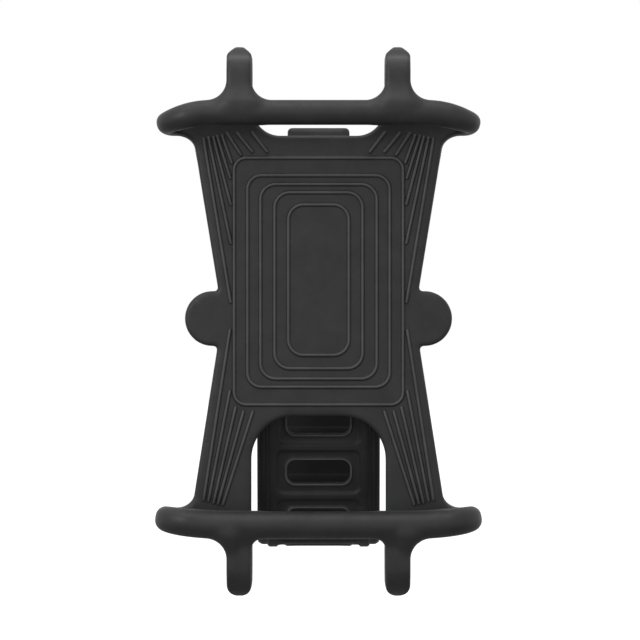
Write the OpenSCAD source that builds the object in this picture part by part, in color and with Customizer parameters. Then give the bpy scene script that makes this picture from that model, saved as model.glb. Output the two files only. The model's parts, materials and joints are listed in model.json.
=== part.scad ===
// Silicone phone mount for a 31.8 mm handlebar.
// X runs along the handlebar, -Y faces the rider and the phone, +Z is up.
// The origin is the centre of the handlebar seat.

/* [Handlebar seat] */
// Radius of the handlebar that the seat grips
seat_r = 15.9; // [15.5:0.05:16.1]
// Wall of the soft liner on the seat
liner_t = 3; // [2.6:0.1:3.2]
// Length of the seat along the handlebar
seat_len = 31.6; // [30:0.1:31.8]

/* [Pad] */
// Thickness of the pad
pad_t = 3.2; // [3:0.1:3.4]
// Half width of the pad at its upper and lower corners
pad_corner_x = 31.6; // [30:0.1:31.6]
// Half width of the pad at its waist
pad_waist_x = 25.8; // [25:0.1:26.5]
// Height of the pad's upper edge
pad_top_z = 47; // [46:0.1:47]
// Height of the pad's lower edge
pad_bottom_z = -47.8; // [-47.8:0.1:-46.8]
// Radius of the round tab on each side
tab_r = 7; // [6:0.1:8]
// Half width of the arch cut-out
arch_x = 17.1; // [16:0.1:17.3]
// Height of the top of the arch cut-out
arch_z = -24.4; // [-25:0.1:-24]

/* [Bands] */
// Radius of the upper crossbar
upper_bar_r = 3.15; // [2.8:0.05:3.2]
// Radius of the lower crossbar
lower_bar_r = 3.5; // [3:0.05:3.5]
// Distance from the pad's middle plane forward to the crossbars
band_reach = 12.6; // [12:0.1:13]
// Height of the upper prong tips above the seat centre
upper_tip_z = 69.2; // [68:0.1:70]
// Depth of the lower prong tips below the seat centre
lower_tip_z = 69.6; // [68:0.1:70]
// Width of each pull prong
prong_w = 6.3; // [5.8:0.1:6.4]
// Distance from the centre line to each prong
prong_x = 19.95; // [19.8:0.05:20.2]

/* [Strap] */
// Width of the strap
strap_w = 31.7; // [31:0.1:31.8]
// Thickness of the strap
strap_t = 3; // [2.8:0.1:3]
// Distance from one window to the next along the strap
window_pitch = 12.85; // [12.8:0.05:12.9]
// Width of each window
window_w = 16.3; // [15:0.1:17]
// Height of each window
window_h = 6.1; // [5.9:0.1:6.2]
// Width of the pull tab
tab_w = 16; // [14:0.1:17]

/* [Hidden] */
$fn = 96;

silicone = [0.22, 0.22, 0.23];
dark_silicone = [0.14, 0.14, 0.15];
nylon = [0.10, 0.10, 0.11];
steel = [0.62, 0.63, 0.65];
past = 1;                 // how far a cut runs past the face that it opens
play = 0.05;              // radial clearance of a running fit
rooted = 0.5;             // how deep one solid is rooted in the next

// Depths, from the back of the pad forward
plate_t = 2;
pad_back_y = -(seat_r + liner_t + 3.1);
pad_mid_y = pad_back_y - pad_t / 2;
pad_front_y = pad_back_y - pad_t;
base_back_y = pad_back_y + plate_t;

// Pad outline
waist_top_z = 8.5;
waist_bottom_z = -7.5;
corner_top_z = 44.4;
corner_bottom_z = -44.8;
tab_x = 27.05;
tab_z = 0.5;
arch_corner_r = 11;
rib_w = 0.7;
rib_h = 0.45;
// Each ring: half width, top height, bottom height, corner radius
RINGS = [[21.5, 41.4, -21.4, 3.1], [18.1, 36.95, -16.9, 3.6], [14.8, 34.7, -14.8, 3.9],
    [11.2, 32.6, -12.2, 3.9], [7.7, 29.5, -8.8, 3.9]];

// Core plate and bracket base
core = [42, 48];
core_mid_z = 7;
core_corner_r = 3;
base_margin = 1.5;
tongue_w = 18;
tongue_top_z = 41;
block_y = -9;
block_z = 17.3;
liner_end_y = -7;
screw_x = 18.8;
screw_dz = 18;
screw_r = 1.5;
screw_head_r = 2.7;
screw_head_t = 1.8;
socket_r = 1.05;
shank_len = 4.4;

// Strap route: anchor pin, front run, bend, rear run, wrap and upright end
pin_at = [-16.7, -18.5];
pin_r = 1.5;
pin_len = 31.2;
eye_r = 3.2;
eye_w = 22;
eye_neck = 5;
eye_side_gap = 0.3;
eye_room = 0.5;
bend_c = [-3, -47.9];
bend_r = 9.5;
front_end = bend_c + [-bend_r, 0];
wrap_c = [0, 5];
wrap_r = 19.5;
crest_r = 7;
upright_y = -13.5;
rear_gap = norm(wrap_c - bend_c);
rear_normal = atan2(wrap_c[1] - bend_c[1], wrap_c[0] - bend_c[0])
    - acos((bend_r - wrap_r) / rear_gap);
rear_len = sqrt(pow(rear_gap, 2) - pow(wrap_r - bend_r, 2));
wrap_end = acos((upright_y + crest_r) / (wrap_r + crest_r));
crest_c = wrap_c + (wrap_r + crest_r) * [cos(wrap_end), sin(wrap_end)];
front_len = norm(front_end - pin_at);
front_heading = atan2(front_end[1] - pin_at[1], front_end[0] - pin_at[0]);
bend_sweep = 180 + rear_normal;
wrap_sweep = wrap_end - rear_normal;
hook_z = 36.2;
tip_z = 49.7;

// Strap hook: round stud, foot, stem and the lip that holds a window
hook_stud_r = 3;
hook_foot = [15, 6, 2];
hook_foot_t = 1.5;
hook_stem = [12, 2.8];
hook_tip_y = -9.4;
hook_lip = 1.1;
hook_lip_t = 1;
hook_chamfer = 0.7;

function arc_len(r, a) = r * a * PI / 180;
s_bend = front_len;
s_rear = s_bend + arc_len(bend_r, bend_sweep);
s_wrap = s_rear + rear_len;
s_crest = s_wrap + arc_len(wrap_r, wrap_sweep);
s_upright = s_crest + arc_len(crest_r, wrap_end);
s_tip = s_upright + tip_z - crest_c[1];
s_hook = s_upright + hook_z - crest_c[1];
first_window = 7.7;
window_corner_r = 2.2;
taper_start = s_hook + 5;
taper_end = s_hook + 8.5;

slab_step = 1.6;
joint_gap = 1;

function window_at(k) = first_window + window_pitch * k;
function joint_at(k) = window_at(k) + window_pitch / 2;
function along(r, s) = s * 180 / (PI * r);
// Point and heading of the strap's middle line at the distance s from the anchor pin
function route(s) =
    s < s_bend ? [pin_at + s * [cos(front_heading), sin(front_heading)], front_heading]
    : s < s_rear ? let (a = 180 + along(bend_r, s - s_bend))
        [bend_c + bend_r * [cos(a), sin(a)], a + 90]
    : s < s_wrap ? let (n = [cos(rear_normal), sin(rear_normal)])
        [bend_c + bend_r * n + (s - s_rear) * [-n[1], n[0]], rear_normal + 90]
    : s < s_crest ? let (a = rear_normal + along(wrap_r, s - s_wrap))
        [wrap_c + wrap_r * [cos(a), sin(a)], a + 90]
    : s < s_upright ? let (a = wrap_end + 180 - along(crest_r, s - s_crest))
        [crest_c + crest_r * [cos(a), sin(a)], a - 90]
    : [[upright_y, crest_c[1] + s - s_upright], 90];

// Bands
hinge_inset = 1.5;
upper_hinge_z = pad_top_z - hinge_inset;
lower_hinge_z = pad_bottom_z + hinge_inset;
tongue_x = 15.4;
bead_r = 1.6;
upper_bar_z = 52.2;
lower_bar_z = 51.35;
upper_tilt = 15;
lower_tilt = 7;
upper_straight_x = 27;    // half length of the crossbar's level part
lower_straight_x = 23;
fold_x = 32.4;
fold_r = band_reach / 2;
upper_ribbon_half = 3.6;
lower_ribbon_half = 2.5;
bar_y = pad_mid_y - band_reach;
prong_t = 3.2;
prong_tip_r = 2.4;
tip_zone = 30;            // height over which the prong's outline is trimmed
ribbon_overhang = 0.8;
ring_sides = 24;
droop_steps = 4;
fold_steps = 14;

// ---- shared shapes ----

// Draws a profile in the Y-Z plane and gives it the width w along X
module across(w) {
    rotate([90, 0, 90]) linear_extrude(w, center = true) children();
}

// Draws an outline in the X-Z plane and gives it depth from y_back forward
module facing(y_back, depth) {
    translate([0, y_back, 0]) rotate([90, 0, 0]) linear_extrude(depth) children();
}

module round_rect(w, h, r) {
    square([w - 2 * r, h], center = true);
    square([w, h - 2 * r], center = true);
    for (x = [-1, 1], y = [-1, 1]) translate([x * (w / 2 - r), y * (h / 2 - r)]) circle(r);
}

module mirror_pair() {
    children();
    mirror([1, 0, 0]) children();
}

// Part of a flat ring between two angles
module ring_sector(c, r, t, a0, a1) {
    reach = 3 * r;
    mid = (a0 + a1) / 2;
    translate(c) intersection() {
        difference() {
            circle(r + t / 2);
            circle(r - t / 2);
        }
        polygon([[0, 0], reach * [cos(a0), sin(a0)], reach * [cos(mid), sin(mid)],
            reach * [cos(a1), sin(a1)]]);
    }
}

// ---- pad ----

module pad_outline() {
    difference() {
        union() {
            mirror_pair() {
                polygon([[-past, pad_bottom_z], [pad_corner_x, pad_bottom_z], [pad_corner_x, corner_bottom_z],
                    [pad_waist_x, waist_bottom_z], [pad_waist_x, waist_top_z], [pad_corner_x, corner_top_z],
                    [pad_corner_x, pad_top_z], [-past, pad_top_z]]);
                translate([tab_x, tab_z]) circle(tab_r);
            }
        }
        arch_outline();
        translate([-2 * pad_corner_x, pad_bottom_z - past])
            square([4 * pad_corner_x, hinge_inset * 2 + past]);
        mirror_pair() translate([tongue_x, pad_top_z - 2 * hinge_inset]) square(2 * pad_corner_x);
    }
}

module arch_outline() {
    height = arch_z - pad_bottom_z + past;
    translate([-arch_x, pad_bottom_z - past]) square([2 * arch_x, height - arch_corner_r]);
    translate([-arch_x + arch_corner_r, pad_bottom_z])
        square([2 * (arch_x - arch_corner_r), arch_z - pad_bottom_z]);
    mirror_pair() translate([arch_x - arch_corner_r, arch_z - arch_corner_r]) circle(arch_corner_r);
}

module rib_ring(ring) {
    mid = (ring[1] + ring[2]) / 2;
    facing(pad_front_y, rib_h) translate([0, mid]) difference() {
        round_rect(2 * ring[0] + rib_w, ring[1] - ring[2] + rib_w, ring[3] + rib_w / 2);
        round_rect(2 * ring[0] - rib_w, ring[1] - ring[2] - rib_w, ring[3] - rib_w / 2);
    }
}

module core_outline(extra) {
    translate([0, core_mid_z]) round_rect(core[0] + 2 * extra, core[1] + 2 * extra, core_corner_r + extra);
}

module cradle_pad() {
    color(silicone) {
        difference() {
            facing(pad_back_y, pad_t) pad_outline();
            facing(pad_back_y + past, plate_t + past) core_outline(0);
            mirror_pair() for (z = [upper_hinge_z, lower_hinge_z])
                translate([tongue_x + fold_x / 2, pad_mid_y, z]) across(fold_x) circle(bead_r + play);
        }
        for (ring = RINGS) rib_ring(ring);
    }
}

module core_plate() {
    color(steel) difference() {
        facing(pad_back_y, plate_t) core_outline(0);
        at_screws() circle(screw_r);
    }
}

// ---- bracket, liner and fasteners ----

// Repeats a round cut or shank at each bracket screw, right through both plates
module at_screws() {
    for (x = [-1, 1], z = [-1, 1])
        translate([x * screw_x, 0, core_mid_z + z * screw_dz])
            facing(base_back_y + past, 2 * plate_t + 2 * past) children();
}

module bracket_base() {
    difference() {
        union() {
            facing(base_back_y, plate_t) core_outline(base_margin);
            facing(base_back_y, plate_t) translate([-tongue_w / 2, 0]) square([tongue_w, tongue_top_z]);
        }
        at_screws() circle(screw_r + 2 * play);
        translate([0, base_back_y, hook_z]) rotate([90, 0, 0]) cylinder(r = hook_stud_r, h = plate_t);
    }
}

module rear_bracket() {
    lug_w = (seat_len - eye_w) / 2 - eye_side_gap;
    room_r = eye_r + eye_room;
    bay_w = eye_w + 2 * eye_side_gap;
    color(nylon) {
        difference() {
            union() {
                bracket_base();
                across(seat_len) translate([base_back_y - rooted, -block_z])
                    square([block_y - base_back_y + rooted, 2 * block_z]);
            }
            across(seat_len + 2 * past) circle(seat_r + liner_t);
            across(bay_w) translate(pin_at) circle(room_r);
            across(bay_w) translate([pin_at[0] - room_r, pin_at[1] - 2 * eye_r])
                square([2 * room_r, 2 * eye_r]);
        }
        for (side = [-1, 1]) translate([side * (seat_len - lug_w) / 2, 0, 0]) across(lug_w) difference() {
            union() {
                translate(pin_at) circle(eye_r);
                translate([base_back_y - rooted, pin_at[1] - eye_r])
                    square([pin_at[0] - base_back_y + rooted, 2 * eye_r]);
            }
            translate(pin_at) circle(pin_r);
            circle(seat_r + liner_t);
        }
    }
}

module saddle_pad() {
    color(dark_silicone) across(seat_len) difference() {
        circle(seat_r + liner_t);
        circle(seat_r);
        translate([liner_end_y, -2 * seat_r]) square(4 * seat_r);
    }
}

module bracket_screws() {
    color(steel) for (x = [-1, 1], z = [-1, 1]) translate([x * screw_x, 0, core_mid_z + z * screw_dz]) {
        facing(base_back_y + screw_head_t, screw_head_t) difference() {
            circle(screw_head_r);
            circle(socket_r, $fn = 6);
        }
        facing(base_back_y + rooted, shank_len) circle(screw_r);
    }
}

module anchor_pin() {
    color(steel) across(pin_len) translate(pin_at) circle(pin_r);
}

module strap_hook() {
    low = hook_z - hook_stem[1] / 2;
    high = low + hook_stem[1];
    lip_y = hook_tip_y - hook_chamfer;
    color(nylon) {
        translate([0, base_back_y, hook_z]) rotate([90, 0, 0]) cylinder(r = hook_stud_r, h = plate_t);
        facing(base_back_y + hook_foot_t, hook_foot_t) translate([0, hook_z])
            round_rect(hook_foot[0], hook_foot[1], hook_foot[2]);
        across(hook_stem[0]) polygon([[base_back_y, low], [hook_tip_y, low], [hook_tip_y, high],
            [lip_y, high + hook_lip], [lip_y - hook_lip_t, high + hook_lip], [lip_y - hook_lip_t, high],
            [base_back_y, high]]);
    }
}

// ---- bands ----
// Each band is drawn as the upper one. The lower band is the same shape turned over.

module upper_side(is_upper) {
    if (is_upper) children();
    else mirror([0, 0, 1]) children();
}

function hinge_h(up) = up ? upper_hinge_z : -lower_hinge_z;
function bar_h(up) = up ? upper_bar_z : lower_bar_z;
function bar_rad(up) = up ? upper_bar_r : lower_bar_r;
function tilt(up) = up ? upper_tilt : lower_tilt;
function level_x(up) = up ? upper_straight_x : lower_straight_x;
function droop_r(up) = (fold_x - level_x(up)) / sin(tilt(up));
function tip_h(up) = up ? upper_tip_z : lower_tip_z;
function ribbon_half(up) = up ? upper_ribbon_half : lower_ribbon_half;
function fold_h(up) = bar_h(up) - droop_r(up) * (1 - cos(tilt(up)));

// Closed skin through a row of rings that all have the same number of points
module loft(rings) {
    n = len(rings[0]);
    last = len(rings) - 1;
    polyhedron(
        points = [for (r = rings) each r],
        faces = concat([[for (i = [0:n - 1]) i]], [[for (i = [n - 1:-1:0]) last * n + i]],
            [for (k = [0:last - 1], i = [0:n - 1])
                let (j = (i + 1) % n) [k * n + i, (k + 1) * n + i, (k + 1) * n + j, k * n + j]]));
}

function oval(c, u, v, ru, rv) = [for (i = [0:ring_sides - 1])
    let (a = 360 * i / ring_sides) c + ru * cos(a) * u + rv * sin(a) * v];

// Section of the crossbar at x: level in the middle, drooping towards both corners
function bar_ring(up, x) =
    let (a = asin(max(abs(x) - level_x(up), 0) / droop_r(up)), side = x < 0 ? -1 : 1)
        oval([x, bar_y, bar_h(up) - droop_r(up) * (1 - cos(a))], [side * sin(a), 0, cos(a)], [0, -1, 0],
            bar_rad(up), bar_rad(up));

// Section of the corner fold at the angle b, from 0 at the crossbar to 180 at the ribbon
function fold_ring(up, b) =
    let (t = tilt(up), out = sin(b) * [cos(t), 0, -sin(t)] + cos(b) * [0, -1, 0], k = (1 - cos(b)) / 2)
        oval([fold_x, pad_mid_y - fold_r, fold_h(up)] + fold_r * out, [sin(t), 0, cos(t)], out,
            bar_rad(up) + k * (ribbon_half(up) - bar_rad(up)), bar_rad(up) + k * (bead_r - bar_rad(up)));

module crossbar(up) {
    droop = fold_x - level_x(up);
    xs = [for (i = [droop_steps:-1:0]) level_x(up) + droop * i / droop_steps];
    upper_side(up) loft(concat([for (x = xs) bar_ring(up, -x)],
        [for (i = [droop_steps:-1:0]) bar_ring(up, xs[i])]));
}

module corner_fold(up, side) {
    h = hinge_h(up);
    ribbon_start = prong_x + prong_w / 2;
    ribbon_end = fold_x + ribbon_overhang;
    mirror([side < 0 ? 1 : 0, 0, 0]) upper_side(up) {
        loft([for (i = [0:fold_steps]) fold_ring(up, 180 * i / fold_steps)]);
        translate([(ribbon_start + ribbon_end) / 2, pad_mid_y, 0]) across(ribbon_end - ribbon_start) {
            translate([0, h]) circle(bead_r);
            translate([-bead_r, h]) square([2 * bead_r, fold_h(up) + ribbon_half(up) - h]);
        }
    }
}

module prong(up, side) {
    h = hinge_h(up);
    top = tip_h(up) - fold_r - prong_t / 2;
    upper_side(up) translate([side * prong_x, 0, 0]) intersection() {
        across(prong_w) difference() {
            union() {
                translate([pad_mid_y, h]) circle(bead_r);
                translate([pad_mid_y - prong_t / 2, h]) square([prong_t, top - h]);
                translate([bar_y - prong_t / 2, bar_h(up)]) square([prong_t, top - bar_h(up)]);
                ring_sector([pad_mid_y - fold_r, top], fold_r, prong_t, 0, 180);
            }
            translate([bar_y, bar_h(up)]) circle(bar_rad(up));
        }
        facing(0, 2 * band_reach - 2 * pad_mid_y) translate([0, tip_h(up) - tip_zone / 2])
            round_rect(prong_w, tip_zone, prong_tip_r);
    }
}

module upper_crossbar() { color(silicone) crossbar(true); }
module upper_left_prong() { color(silicone) prong(true, -1); }
module upper_right_prong() { color(silicone) prong(true, 1); }
module upper_left_corner_fold() { color(silicone) corner_fold(true, -1); }
module upper_right_corner_fold() { color(silicone) corner_fold(true, 1); }
module lower_crossbar() { color(silicone) crossbar(false); }
module lower_left_prong() { color(silicone) prong(false, -1); }
module lower_right_prong() { color(silicone) prong(false, 1); }
module lower_left_corner_fold() { color(silicone) corner_fold(false, -1); }
module lower_right_corner_fold() { color(silicone) corner_fold(false, 1); }

// ---- strap ----

// The strap's profile between two distances along its route
module slab(s0, s1) {
    steps = ceil((s1 - s0) / slab_step);
    stations = [for (i = [0:steps]) route(s0 + (s1 - s0) * i / steps)];
    polygon([for (side = [-1, 1], i = [0:steps])
        let (p = stations[side < 0 ? i : steps - i])
            p[0] + side * strap_t / 2 * [-sin(p[1]), cos(p[1])]]);
}

module window_cut(s) {
    p = route(s);
    across_at = [0, p[0][0], p[0][1]];
    translate(across_at) rotate([p[1] + 90, 0, 0])
        linear_extrude(3 * strap_t, center = true) round_rect(window_w, window_h, window_corner_r);
}

// One stiff portion of the strap, with a bead at its far end and a matching groove at its near end
module portion(s0, s1, windows) {
    color(dark_silicone) difference() {
        across(strap_w) difference() {
            union() {
                slab(s0 + joint_gap, s1);
                translate(route(s1)[0]) circle(strap_t / 2);
            }
            translate(route(s0)[0]) circle(strap_t / 2 + play);
        }
        for (k = windows) window_cut(window_at(k));
    }
}

module strap_root() {
    s1 = joint_at(1);
    color(dark_silicone) difference() {
        union() {
            across(eye_w) difference() {
                union() {
                    slab(0, eye_neck + past);
                    translate(pin_at) circle(eye_r);
                }
                translate(pin_at) circle(pin_r + play);
            }
            across(strap_w) {
                slab(eye_neck, s1);
                translate(route(s1)[0]) circle(strap_t / 2);
            }
        }
        for (k = [0, 1]) window_cut(window_at(k));
    }
}

module strap_bend_front() { portion(joint_at(1), joint_at(2), [2]); }
module strap_bend_bottom() { portion(joint_at(2), joint_at(3), [3]); }
module strap_bend_rear() { portion(joint_at(3), joint_at(4), []); }
module strap_rear_lower() { portion(joint_at(4), joint_at(6), []); }
module strap_rear_upper() { portion(joint_at(6), joint_at(8), [7, 8]); }
module strap_wrap() { portion(joint_at(8), joint_at(10), [9, 10]); }

module strap_end() {
    s0 = joint_at(10);
    z_at = tip_z - s_tip;
    color(dark_silicone) difference() {
        intersection() {
            across(strap_w) difference() {
                slab(s0 + joint_gap, s_tip);
                translate(route(s0)[0]) circle(strap_t / 2 + play);
            }
            facing(2 * wrap_r, 4 * wrap_r) end_outline(taper_start + z_at, taper_end + z_at);
        }
        window_cut(window_at(11));
        window_cut(s_hook);
    }
}

module end_outline(z0, z1) {
    right = [[strap_w / 2 + past, 0], [strap_w / 2, z0], [tab_w / 2, z1], [tab_w / 2, tip_z]];
    left = [for (i = [len(right) - 1:-1:0]) [-right[i][0], right[i][1]]];
    polygon(concat(right, left));
}

cradle_pad();
core_plate();
rear_bracket();
saddle_pad();
bracket_screws();
anchor_pin();
strap_hook();
upper_crossbar();
upper_left_prong();
upper_right_prong();
upper_left_corner_fold();
upper_right_corner_fold();
lower_crossbar();
lower_left_prong();
lower_right_prong();
lower_left_corner_fold();
lower_right_corner_fold();
strap_root();
strap_bend_front();
strap_bend_bottom();
strap_bend_rear();
strap_rear_lower();
strap_rear_upper();
strap_wrap();
strap_end();
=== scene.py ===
"""Looks of the silicone phone mount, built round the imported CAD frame.

The soft parts are distance fields in millimetres, meshed with OpenVDB, so that every junction is a true
moulded fillet. Directions are the frame's: X along the handlebar, -Y towards the phone, +Z up.
"""
import json
import math

import bmesh
import bpy
import numpy as np
import openvdb
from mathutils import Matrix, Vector


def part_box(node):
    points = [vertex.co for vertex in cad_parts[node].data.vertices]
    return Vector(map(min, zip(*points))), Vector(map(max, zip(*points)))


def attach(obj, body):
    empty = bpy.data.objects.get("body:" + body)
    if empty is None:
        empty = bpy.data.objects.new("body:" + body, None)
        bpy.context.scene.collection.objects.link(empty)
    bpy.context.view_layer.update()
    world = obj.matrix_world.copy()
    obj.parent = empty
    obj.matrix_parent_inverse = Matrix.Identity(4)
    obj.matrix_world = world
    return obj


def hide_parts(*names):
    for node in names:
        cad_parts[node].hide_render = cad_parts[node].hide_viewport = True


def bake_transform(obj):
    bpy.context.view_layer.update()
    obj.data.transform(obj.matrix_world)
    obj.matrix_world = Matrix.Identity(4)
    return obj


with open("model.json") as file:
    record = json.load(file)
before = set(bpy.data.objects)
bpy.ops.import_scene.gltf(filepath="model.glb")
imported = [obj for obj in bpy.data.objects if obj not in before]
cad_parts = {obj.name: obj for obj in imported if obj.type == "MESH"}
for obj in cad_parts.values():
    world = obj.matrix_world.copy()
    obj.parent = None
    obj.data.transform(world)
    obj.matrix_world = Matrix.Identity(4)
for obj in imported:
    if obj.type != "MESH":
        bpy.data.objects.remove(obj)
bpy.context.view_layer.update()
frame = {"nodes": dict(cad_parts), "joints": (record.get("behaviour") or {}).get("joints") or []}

MM = 0.001
JOINTS = {j["name"]: j for j in frame["joints"]}


def box_mm(node):
    """Lowest and highest corner of a CAD node, in millimetres."""
    low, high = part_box(node)
    return np.array(low) / MM, np.array(high) / MM


def joint_yz(name):
    """Where a hinge crosses the middle plane, in millimetres."""
    return np.array(JOINTS[name]["pos_m"][1:]) / MM


# ---------------------------------------------------------------- distance fields

def grid(low, high, step):
    """Sample points of a box, spaced by step, as three open arrays."""
    axes = [np.arange(a, b + step, step, dtype=np.float32) for a, b in zip(low, high)]
    return np.meshgrid(*axes, indexing="ij", sparse=True)


def fuse(a, b, r):
    """Union with a fillet of radius r."""
    return np.maximum(r, np.minimum(a, b)) - np.hypot(np.maximum(r - a, 0), np.maximum(r - b, 0))


def carve(a, b, r):
    """Intersection with an edge rounding of radius r."""
    return np.minimum(-r, np.maximum(a, b)) + np.hypot(np.maximum(r + a, 0), np.maximum(r + b, 0))


def rounded_box(u, v, hu, hv, r):
    """Rounded rectangle of half sizes hu and hv with corner radius r."""
    qu, qv = np.abs(u) - hu + r, np.abs(v) - hv + r
    return np.hypot(np.maximum(qu, 0), np.maximum(qv, 0)) + np.minimum(np.maximum(qu, qv), 0) - r


def half_plane(u, v, a, b):
    """Distance to the line from a to b, positive on its right."""
    d = np.array(b, float) - np.array(a, float)
    d /= np.hypot(*d)
    return (u - a[0]) * d[1] - (v - a[1]) * d[0]


def ease(x, lo, hi):
    """Smooth step from 0 at lo to 1 at hi."""
    t = np.clip((x - lo) / (hi - lo), 0, 1)
    return t * t * (3 - 2 * t)


def mesh_arrays(field, low, step, adaptivity):
    """Points and faces of a field's zero surface. Adaptivity merges faces where it is flat."""
    band = 3 * step
    volume = openvdb.FloatGrid(band)
    volume.copyFromArray(np.ascontiguousarray(np.clip(field, -band, band), dtype=np.float32))
    points, triangles, quads = volume.convertToPolygons(0.0, adaptivity)
    return points * step + np.array(low), [tuple(f) for f in triangles] + [tuple(f) for f in quads]


def mirrored(field):
    """The whole field, from its x >= 0 half. Plane 0 lies on the middle."""
    return np.concatenate([field[:0:-1], field], axis=0)


def whole_corner(half, low, step):
    """Low corner of a field once its x >= 0 half is mirrored."""
    return -(half.shape[0] - 1) * step, low[1], low[2]


def new_object(name, points, faces):
    """Smooth-shaded mesh object from points in millimetres."""
    mesh = bpy.data.meshes.new(name)
    mesh.from_pydata((np.asarray(points) * MM).tolist(), [], faces)
    mesh.update()
    mesh.polygons.foreach_set("use_smooth", [True] * len(mesh.polygons))
    obj = bpy.data.objects.new(name, mesh)
    bpy.context.scene.collection.objects.link(obj)
    return obj


def set_painted_light(obj, values):
    """How much painted light each point of the mesh gets, from 0 to 1, for the material to read: a paler
    colour painted where light would catch.
    """
    layer = obj.data.attributes.new("painted_light", "FLOAT", "POINT")
    layer.data.foreach_set("value", np.asarray(values, dtype=np.float32))


def points_mm(obj):
    """The mesh's points as an array of rows, in millimetres."""
    co = np.empty(len(obj.data.vertices) * 3)
    obj.data.vertices.foreach_get("co", co)
    return co.reshape(-1, 3) / MM


def field_object(name, field, low, step, adaptivity):
    """Mesh object of a field's zero surface."""
    points, faces = mesh_arrays(field, low, step, adaptivity)
    return new_object(name, points, faces)


RIM_WELD = 1e-6                    # points of a cut's rim closer than this, in metres, are one


def cut(obj, axis, at, keep_high):
    """Cuts the mesh flat at a height along one axis and caps it with a sharp-edged face."""
    bm = bmesh.new()
    bm.from_mesh(obj.data)
    normal = [0.0, 0.0, 0.0]
    normal[axis] = 1.0
    point = [n * at * MM for n in normal]
    bmesh.ops.bisect_plane(bm, geom=bm.verts[:] + bm.edges[:] + bm.faces[:], plane_co=point,
                           plane_no=normal, clear_inner=keep_high, clear_outer=not keep_high)
    rim_points = list({v for e in bm.edges if e.is_boundary for v in e.verts})
    bmesh.ops.remove_doubles(bm, verts=rim_points, dist=RIM_WELD)
    caps = bmesh.ops.holes_fill(bm, edges=[e for e in bm.edges if e.is_boundary])["faces"]
    for face in caps:
        face.smooth = False
        for edge in face.edges:
            edge.smooth = False
    bm.to_mesh(obj.data)
    bm.free()
    return obj


def duplicate(obj, name):
    """Second object with its own copy of the mesh."""
    twin = bpy.data.objects.new(name, obj.data.copy())
    bpy.context.scene.collection.objects.link(twin)
    return twin


def join(name, objects):
    """One object from several. The first one's mesh comes first."""
    bm = bmesh.new()
    for obj in objects:
        bm.from_mesh(obj.data)
        bpy.data.objects.remove(obj)
    mesh = bpy.data.meshes.new(name)
    bm.to_mesh(mesh)
    bm.free()
    obj = bpy.data.objects.new(name, mesh)
    bpy.context.scene.collection.objects.link(obj)
    return obj


# ---------------------------------------------------------------- front moulding: pad and bands

SKIN_T = 3.2                       # thickness of the pad, ribbons and prong legs
PAD_LOW, PAD_HIGH = box_mm("cradle_pad")
PAD_BACK = PAD_HIGH[1]
PAD_FRONT = PAD_BACK - SKIN_T
PAD_MID = PAD_BACK - SKIN_T / 2
RIB_TOP = PAD_FRONT - PAD_LOW[1]   # how far the ribs stand out of the pad

PAD_STEP = 0.3
SIMPLIFY = 0.02                    # adaptivity of the big soft meshes
SEAM_Z = 43.3                      # where the pad's mesh meets the bands' meshes
FOLD_X = 32.4                      # where the crossbars turn into the corner folds


class Band:
    """Sizes of one band, with heights counted away from the seat.

    tilt: slope of the crossbar's ends in degrees. straight_x: half length of its level part.
    ribbon_half: half width of the ribbon behind the fold. pinch: how much narrower the fold's side is.
    """

    def __init__(self, side, sign, tilt, straight_x, ribbon_half, pinch, tip_cut):
        self.sign, self.straight_x, self.tip_cut = sign, straight_x, tip_cut
        self.ribbon_half, self.pinch = ribbon_half, pinch
        self.tilt = math.radians(tilt)
        bar_low, bar_high = box_mm(f"{side}_crossbar")
        self.r = (bar_high[1] - bar_low[1]) / 2
        self.bar_y = (bar_high[1] + bar_low[1]) / 2
        self.bar_z = max(abs(bar_low[2]), abs(bar_high[2])) - self.r
        prong_low, prong_high = box_mm(f"{side}_right_prong")
        self.prong_x = (prong_low[0] + prong_high[0]) / 2
        self.prong_half = (prong_high[0] - prong_low[0]) / 2
        self.turn_r = (PAD_MID - self.bar_y) / 2
        self.turn_y = (PAD_MID + self.bar_y) / 2
        self.tip_z = max(abs(prong_low[2]), abs(prong_high[2]))
        self.turn_z = self.tip_z - self.turn_r - SKIN_T / 2
        self.droop_r = (FOLD_X - straight_x) / math.sin(self.tilt)
        self.fold_z = self.bar_z - self.droop_r * (1 - math.cos(self.tilt))


EDGE_R = 1.0                       # rounding of the moulding's edges
UPPER = Band("upper", 1, tilt=15, straight_x=27.0, ribbon_half=3.8, pinch=0.75, tip_cut="chamfer")
LOWER = Band("lower", -1, tilt=7, straight_x=23.0, ribbon_half=2.6, pinch=0.0, tip_cut="round")
PAD_EDGE_Z = 47.1                  # the pad's upper edge, between the prongs
NOTCH_HALF, NOTCH_R = 16.7, 7.0    # the notch above it
ARCH_TOP, ARCH_HALF, ARCH_R = -24.4, 17.1, 11.0
WIDEN_FROM, WIDEN_TO = 51, 56      # heights between which the gap widens to the prongs' inner sides
GAP_DEPTH = 60                     # half height of the gap's box, well past the prongs' tips
WAIST_X = 25.5
TAB_X, TAB_Z, TAB_R, TAB_FILLET = 27.05, 0.5, 7.0, 1.2
CURL_Z, CURL_BLEND = 36.0, 10      # the pad is flat up to here, and the fold takes over above it
LEG_FOOT_Z, LEG_R = 45, 0.5        # middle of the rear legs' box and its corner radius
RIBBON_FILLET, LEG_FILLET = 4.0, 2.5
BODY_OVERLAP = 2                   # how far below the fold's line the pad's body stops
TIP_FLAT, TIP_R = 0.9, 0.35        # half width of a chamfered tip's flat, and its rounding
LOOP_FILLET, LOWER_INNER_FILLET = 5.0, 2.6  # where a prong leaves its crossbar
FLUSH_FILLET, FLUSH_DEPTH = 0.6, 2.5        # the fillet fades to this, this far inside the bar's axis
FLASH_H, FLASH_HALF_W = 0.22, 0.35  # height and half width of the bars' parting line
FLASH_FROM, FLASH_TO = 12, 16      # the parting line fades in between these widths
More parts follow.
